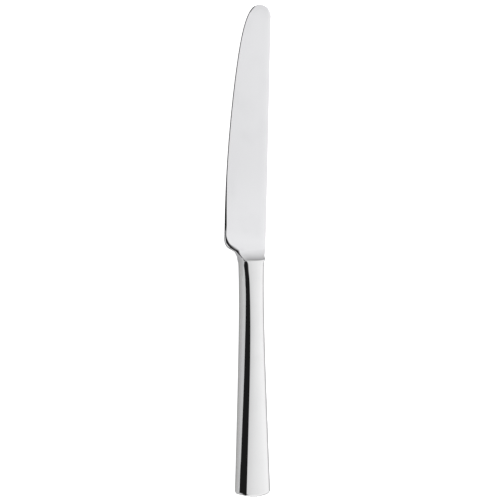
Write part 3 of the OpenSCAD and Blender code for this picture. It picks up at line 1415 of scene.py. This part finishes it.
@dataclass(frozen=True)
class Studio:
    """The pale floor, the soft light and the camera.

    Args:
        roll: How far the camera leans to the cutting edge's side, in degrees.
        tilt: How far the knife leans in the picture, in degrees.
        aim: The point in the middle of the picture, in the drawing.
        distance: From the camera to that point, in metres.
        field_w: Width of the picture at that point.
        sky: Strength of the light all around.
        fill: Power of the overhead lamp, in watts.
        fill_w: Width of that lamp, in metres.
        fill_up: Its height, in metres.
        floor_w: Width of the floor, in metres.
        floor_grey: Grey of the floor.
        floor_glow: Light that the floor itself gives off.
        mirror_grey: Grey of the floor in the steel's reflections.
        mirror_glow: Light that the floor gives off there.
        card_level: Brightness of the bounce cards that the cutting edge's side reflects.
        cards: Each card's x in the drawing, with its corners as y and z.
        tent: The tent's brightness by how far a ray leans to the left, in degrees.
    """

    datum: Datum
    roll: float = 27.5
    tilt: float = 0.36
    aim: Triple = (-0.637, 5.53, 0.0)
    distance: float = 0.9
    field_w: float = 240.4
    sky: float = 1.4
    fill: float = 22.0
    fill_w: float = 2.5
    fill_up: float = 2.0
    floor_w: float = 6.0
    floor_grey: float = 0.9
    floor_glow: float = 1.0
    mirror_grey: float = 0.52
    mirror_glow: float = 0.3
    card_level: float = 0.85
    cards: tuple[tuple[float, tuple[Point, ...]], ...] = (
        (-45.0, ((200.0, 7.6), (-5.0, 7.6), (-6.0, -4.3), (200.0, -4.4))),
        (-45.0, (
            (-22.0, 27.2), (-28.2, 27.4), (-40.4, 26.0), (-55.6, 24.4), (-71.0, 20.0), (-86.3, 15.2),
            (-95.5, 12.5), (-101.6, 8.8), (-106.0, 8.4), (-110.0, 8.6), (-114.0, 7.0), (-120.0, -4.4),
            (-22.0, -4.4),
        )),
        (-20.0, (
            (-3.1, -4.4), (-3.2, -0.8), (-3.3, 2.1), (-3.4, 4.6), (-4.5, 6.3), (-6.0, 7.6), (-7.5, 7.9),
            (-8.8, 7.9), (-9.9, 7.9), (-10.7, 8.0), (-11.5, 8.6), (-12.0, 9.3), (-12.4, 10.2),
            (-12.7, 11.0), (-13.6, 11.4), (-14.5, 11.6), (-16.3, 12.0), (-18.2, 12.2), (-21.5, 12.5),
            (-21.5, 0.5), (-12.0, -2.0),
        )),
    )
    tent: tuple[Point, ...] = (
        (-90, 0.98), (-80, 1.0), (-70, 1.01), (-60, 1.02), (-40, 1.02), (-34, 1.0), (-32, 0.945),
        (-30, 0.92), (-28.8, 0.895), (-27.5, 0.877), (-26.2, 0.855), (-25, 0.833), (-23.7, 0.80),
        (-22.5, 0.765), (-21.2, 0.745), (-20, 0.70), (-18, 0.58), (-15, 0.42), (-13, 0.33),
        (-10.6, 0.25), (-8, 0.15), (-4, 0.063), (0, 0.02), (8, 0.012),
    )

    def build(self) -> None:
        """Sets up floor, light and camera."""
        self._floor()
        self._cards()
        self._light()
        self._lamp()
        self._camera()

    def _floor(self) -> None:
        """Lays a pale floor that glows softly, and over it one that only the steel reflects."""
        for name, drop, grey, glow, seen in (
            ("floor", 6e-5, self.floor_grey, self.floor_glow, True),
            ("floor_reflected", 3e-5, self.mirror_grey, self.mirror_glow, False),
        ):
            bpy.ops.object.select_all(action="DESELECT")
            bpy.ops.mesh.primitive_plane_add(size=self.floor_w, location=(0, 0, -drop))
            floor = bpy.context.active_object
            floor.name = name
            self._paint(floor, grey, glow)
            self._show(floor, seen)

    def _cards(self) -> None:
        """Stands bounce cards beside the cutting edge, in the steel's reflections alone."""
        for number, (x, corners) in enumerate(self.cards):
            mesh = bpy.data.meshes.new(f"bounce_card_{number}")
            places = [self.datum.place(x, y, z) for y, z in corners]
            mesh.from_pydata(places, [], [list(range(len(places)))])
            card = bpy.data.objects.new(mesh.name, mesh)
            bpy.context.scene.collection.objects.link(card)
            self._paint(card, 0.0, self.card_level)
            self._show(card, seen=False)

    @staticmethod
    def _paint(stage: bpy.types.Object, grey: float, glow: float) -> None:
        """Gives a stage piece a matte grey that may glow."""
        made, bench = new_material(f"{stage.name}_matte")
        bench.surface(
            {
                "Base Color": (grey, grey, grey, 1.0),
                "Roughness": 0.9,
                "Specular IOR Level": 0.0,
                "Emission Color": (1.0, 1.0, 1.0, 1.0),
                "Emission Strength": glow,
            }
        )
        stage.data.materials.append(made)

    @staticmethod
    def _show(stage: bpy.types.Object, seen: bool) -> None:
        """Shows a stage piece either to the camera and the light, or to reflections alone."""
        stage.visible_camera = seen
        stage.visible_diffuse = seen
        stage.visible_shadow = seen
        stage.visible_transmission = seen
        stage.visible_glossy = not seen

    def _light(self) -> None:
        """Surrounds the knife with a white tent that has one dark opening on the left."""
        world = bpy.data.worlds.new("tent")
        bpy.context.scene.world = world
        world.use_nodes = True
        bench = NodeBench(world.node_tree)
        way = bench.node("ShaderNodeTexCoord", output="Generated")
        x, y, z = (
            bench.node("ShaderNodeSeparateXYZ", None, {0: way}, output=axis) for axis in "XYZ"
        )
        back = 0.0 - y
        lean = (0.0 - x).angle_to(z)

        # The walls and the opening. Behind the knife the opening starts further to the left.
        turned = lean - back.step(0.8, 0.95) * 0.35
        stops = [((angle + 90) / 180, level) for angle, level in self.tent]
        walls = bench.node(
            "ShaderNodeValToRGB", {"stops": stops}, {0: turned * (1 / math.pi) + 0.5}
        )

        # The far end, brighter high up and down by the floor, with the opening in it too.
        far = y.step(0.08, 0.36) * (1 - x.step(0.55, 0.8))
        dark = lean.step(-0.35, 0.0)
        sweep = 1 - z.step(0.0, 0.2)
        high = z * (1.46 - z * 0.768) + 0.103 + sweep * 0.6 + z.step(0.8, 0.95) * 0.09
        level = walls * (1 - far) + far * high * (1 - dark * 0.9)

        # Low down behind, greyer on the right and paler on the left. Paler straight ahead too.
        low = back.step(0.4, 0.6) * (1 - z.step(0.3, 0.5))
        level = level * (1 - low * x.step(0.5, 0.62) * 0.4)
        paler = low * (1 - x.step(-0.62, -0.52)) + y.step(0.93, 0.995)
        level = level + paler * 0.45
        shader = bench.node("ShaderNodeBackground", None, {"Color": level, "Strength": self.sky})
        bench.node("ShaderNodeOutputWorld", None, {"Surface": shader})

    def _lamp(self) -> None:
        """Hangs a broad lamp overhead for the floor, out of the steel's reflections."""
        bpy.ops.object.light_add(type="AREA", location=(0, 0, self.fill_up))
        lamp = bpy.context.active_object
        lamp.name = "overhead"
        lamp.data.shape = "SQUARE"
        lamp.data.size = self.fill_w
        lamp.data.energy = self.fill
        lamp.visible_glossy = False

    def _camera(self) -> None:
        """Puts the camera at the picture's viewing angle."""
        data = bpy.data.cameras.new("camera")
        data.sensor_width = 36.0
        data.lens = data.sensor_width * self.distance / (self.field_w * MM)
        camera = bpy.data.objects.new("camera", data)
        bpy.context.scene.collection.objects.link(camera)
        roll, tilt = math.radians(self.roll), math.radians(self.tilt)
        back = Vector((-math.sin(roll), 0, math.cos(roll)))
        level = Vector((math.cos(roll), 0, math.sin(roll)))
        up = Vector((0, 1, 0)) * math.cos(tilt) + level * math.sin(tilt)
        right = level * math.cos(tilt) - Vector((0, 1, 0)) * math.sin(tilt)
        turn = Matrix((right, up, back)).transposed().to_4x4()
        aim = Vector(self.datum.place(*self.aim))
        camera.matrix_world = Matrix.Translation(aim + back * self.distance) @ turn
        bpy.context.scene.camera = camera
        bpy.context.scene.view_settings.view_transform = "Standard"


def main() -> None:
    """Builds and dresses the knife, then sets up the studio."""
    logging.basicConfig(level=logging.INFO, format="%(message)s")
    datum = Datum.from_frame()
    form = HandleForm()
    pieces = [
        Blade(form, datum),
        HandleShell(form, datum, Face.FRONT),
        HandleShell(form, datum, Face.BACK),
    ]
    for piece in pieces:
        obj = piece.build()
        piece.dress(obj)
        LOG.info("%s: %d faces, stands for %s", obj.name, len(obj.data.polygons), piece.node)
    for node in JointFillers().dress():
        LOG.info("%s: packed solid with its own finish", node)
    Studio(datum).build()


if __name__ == "__main__":
    main()
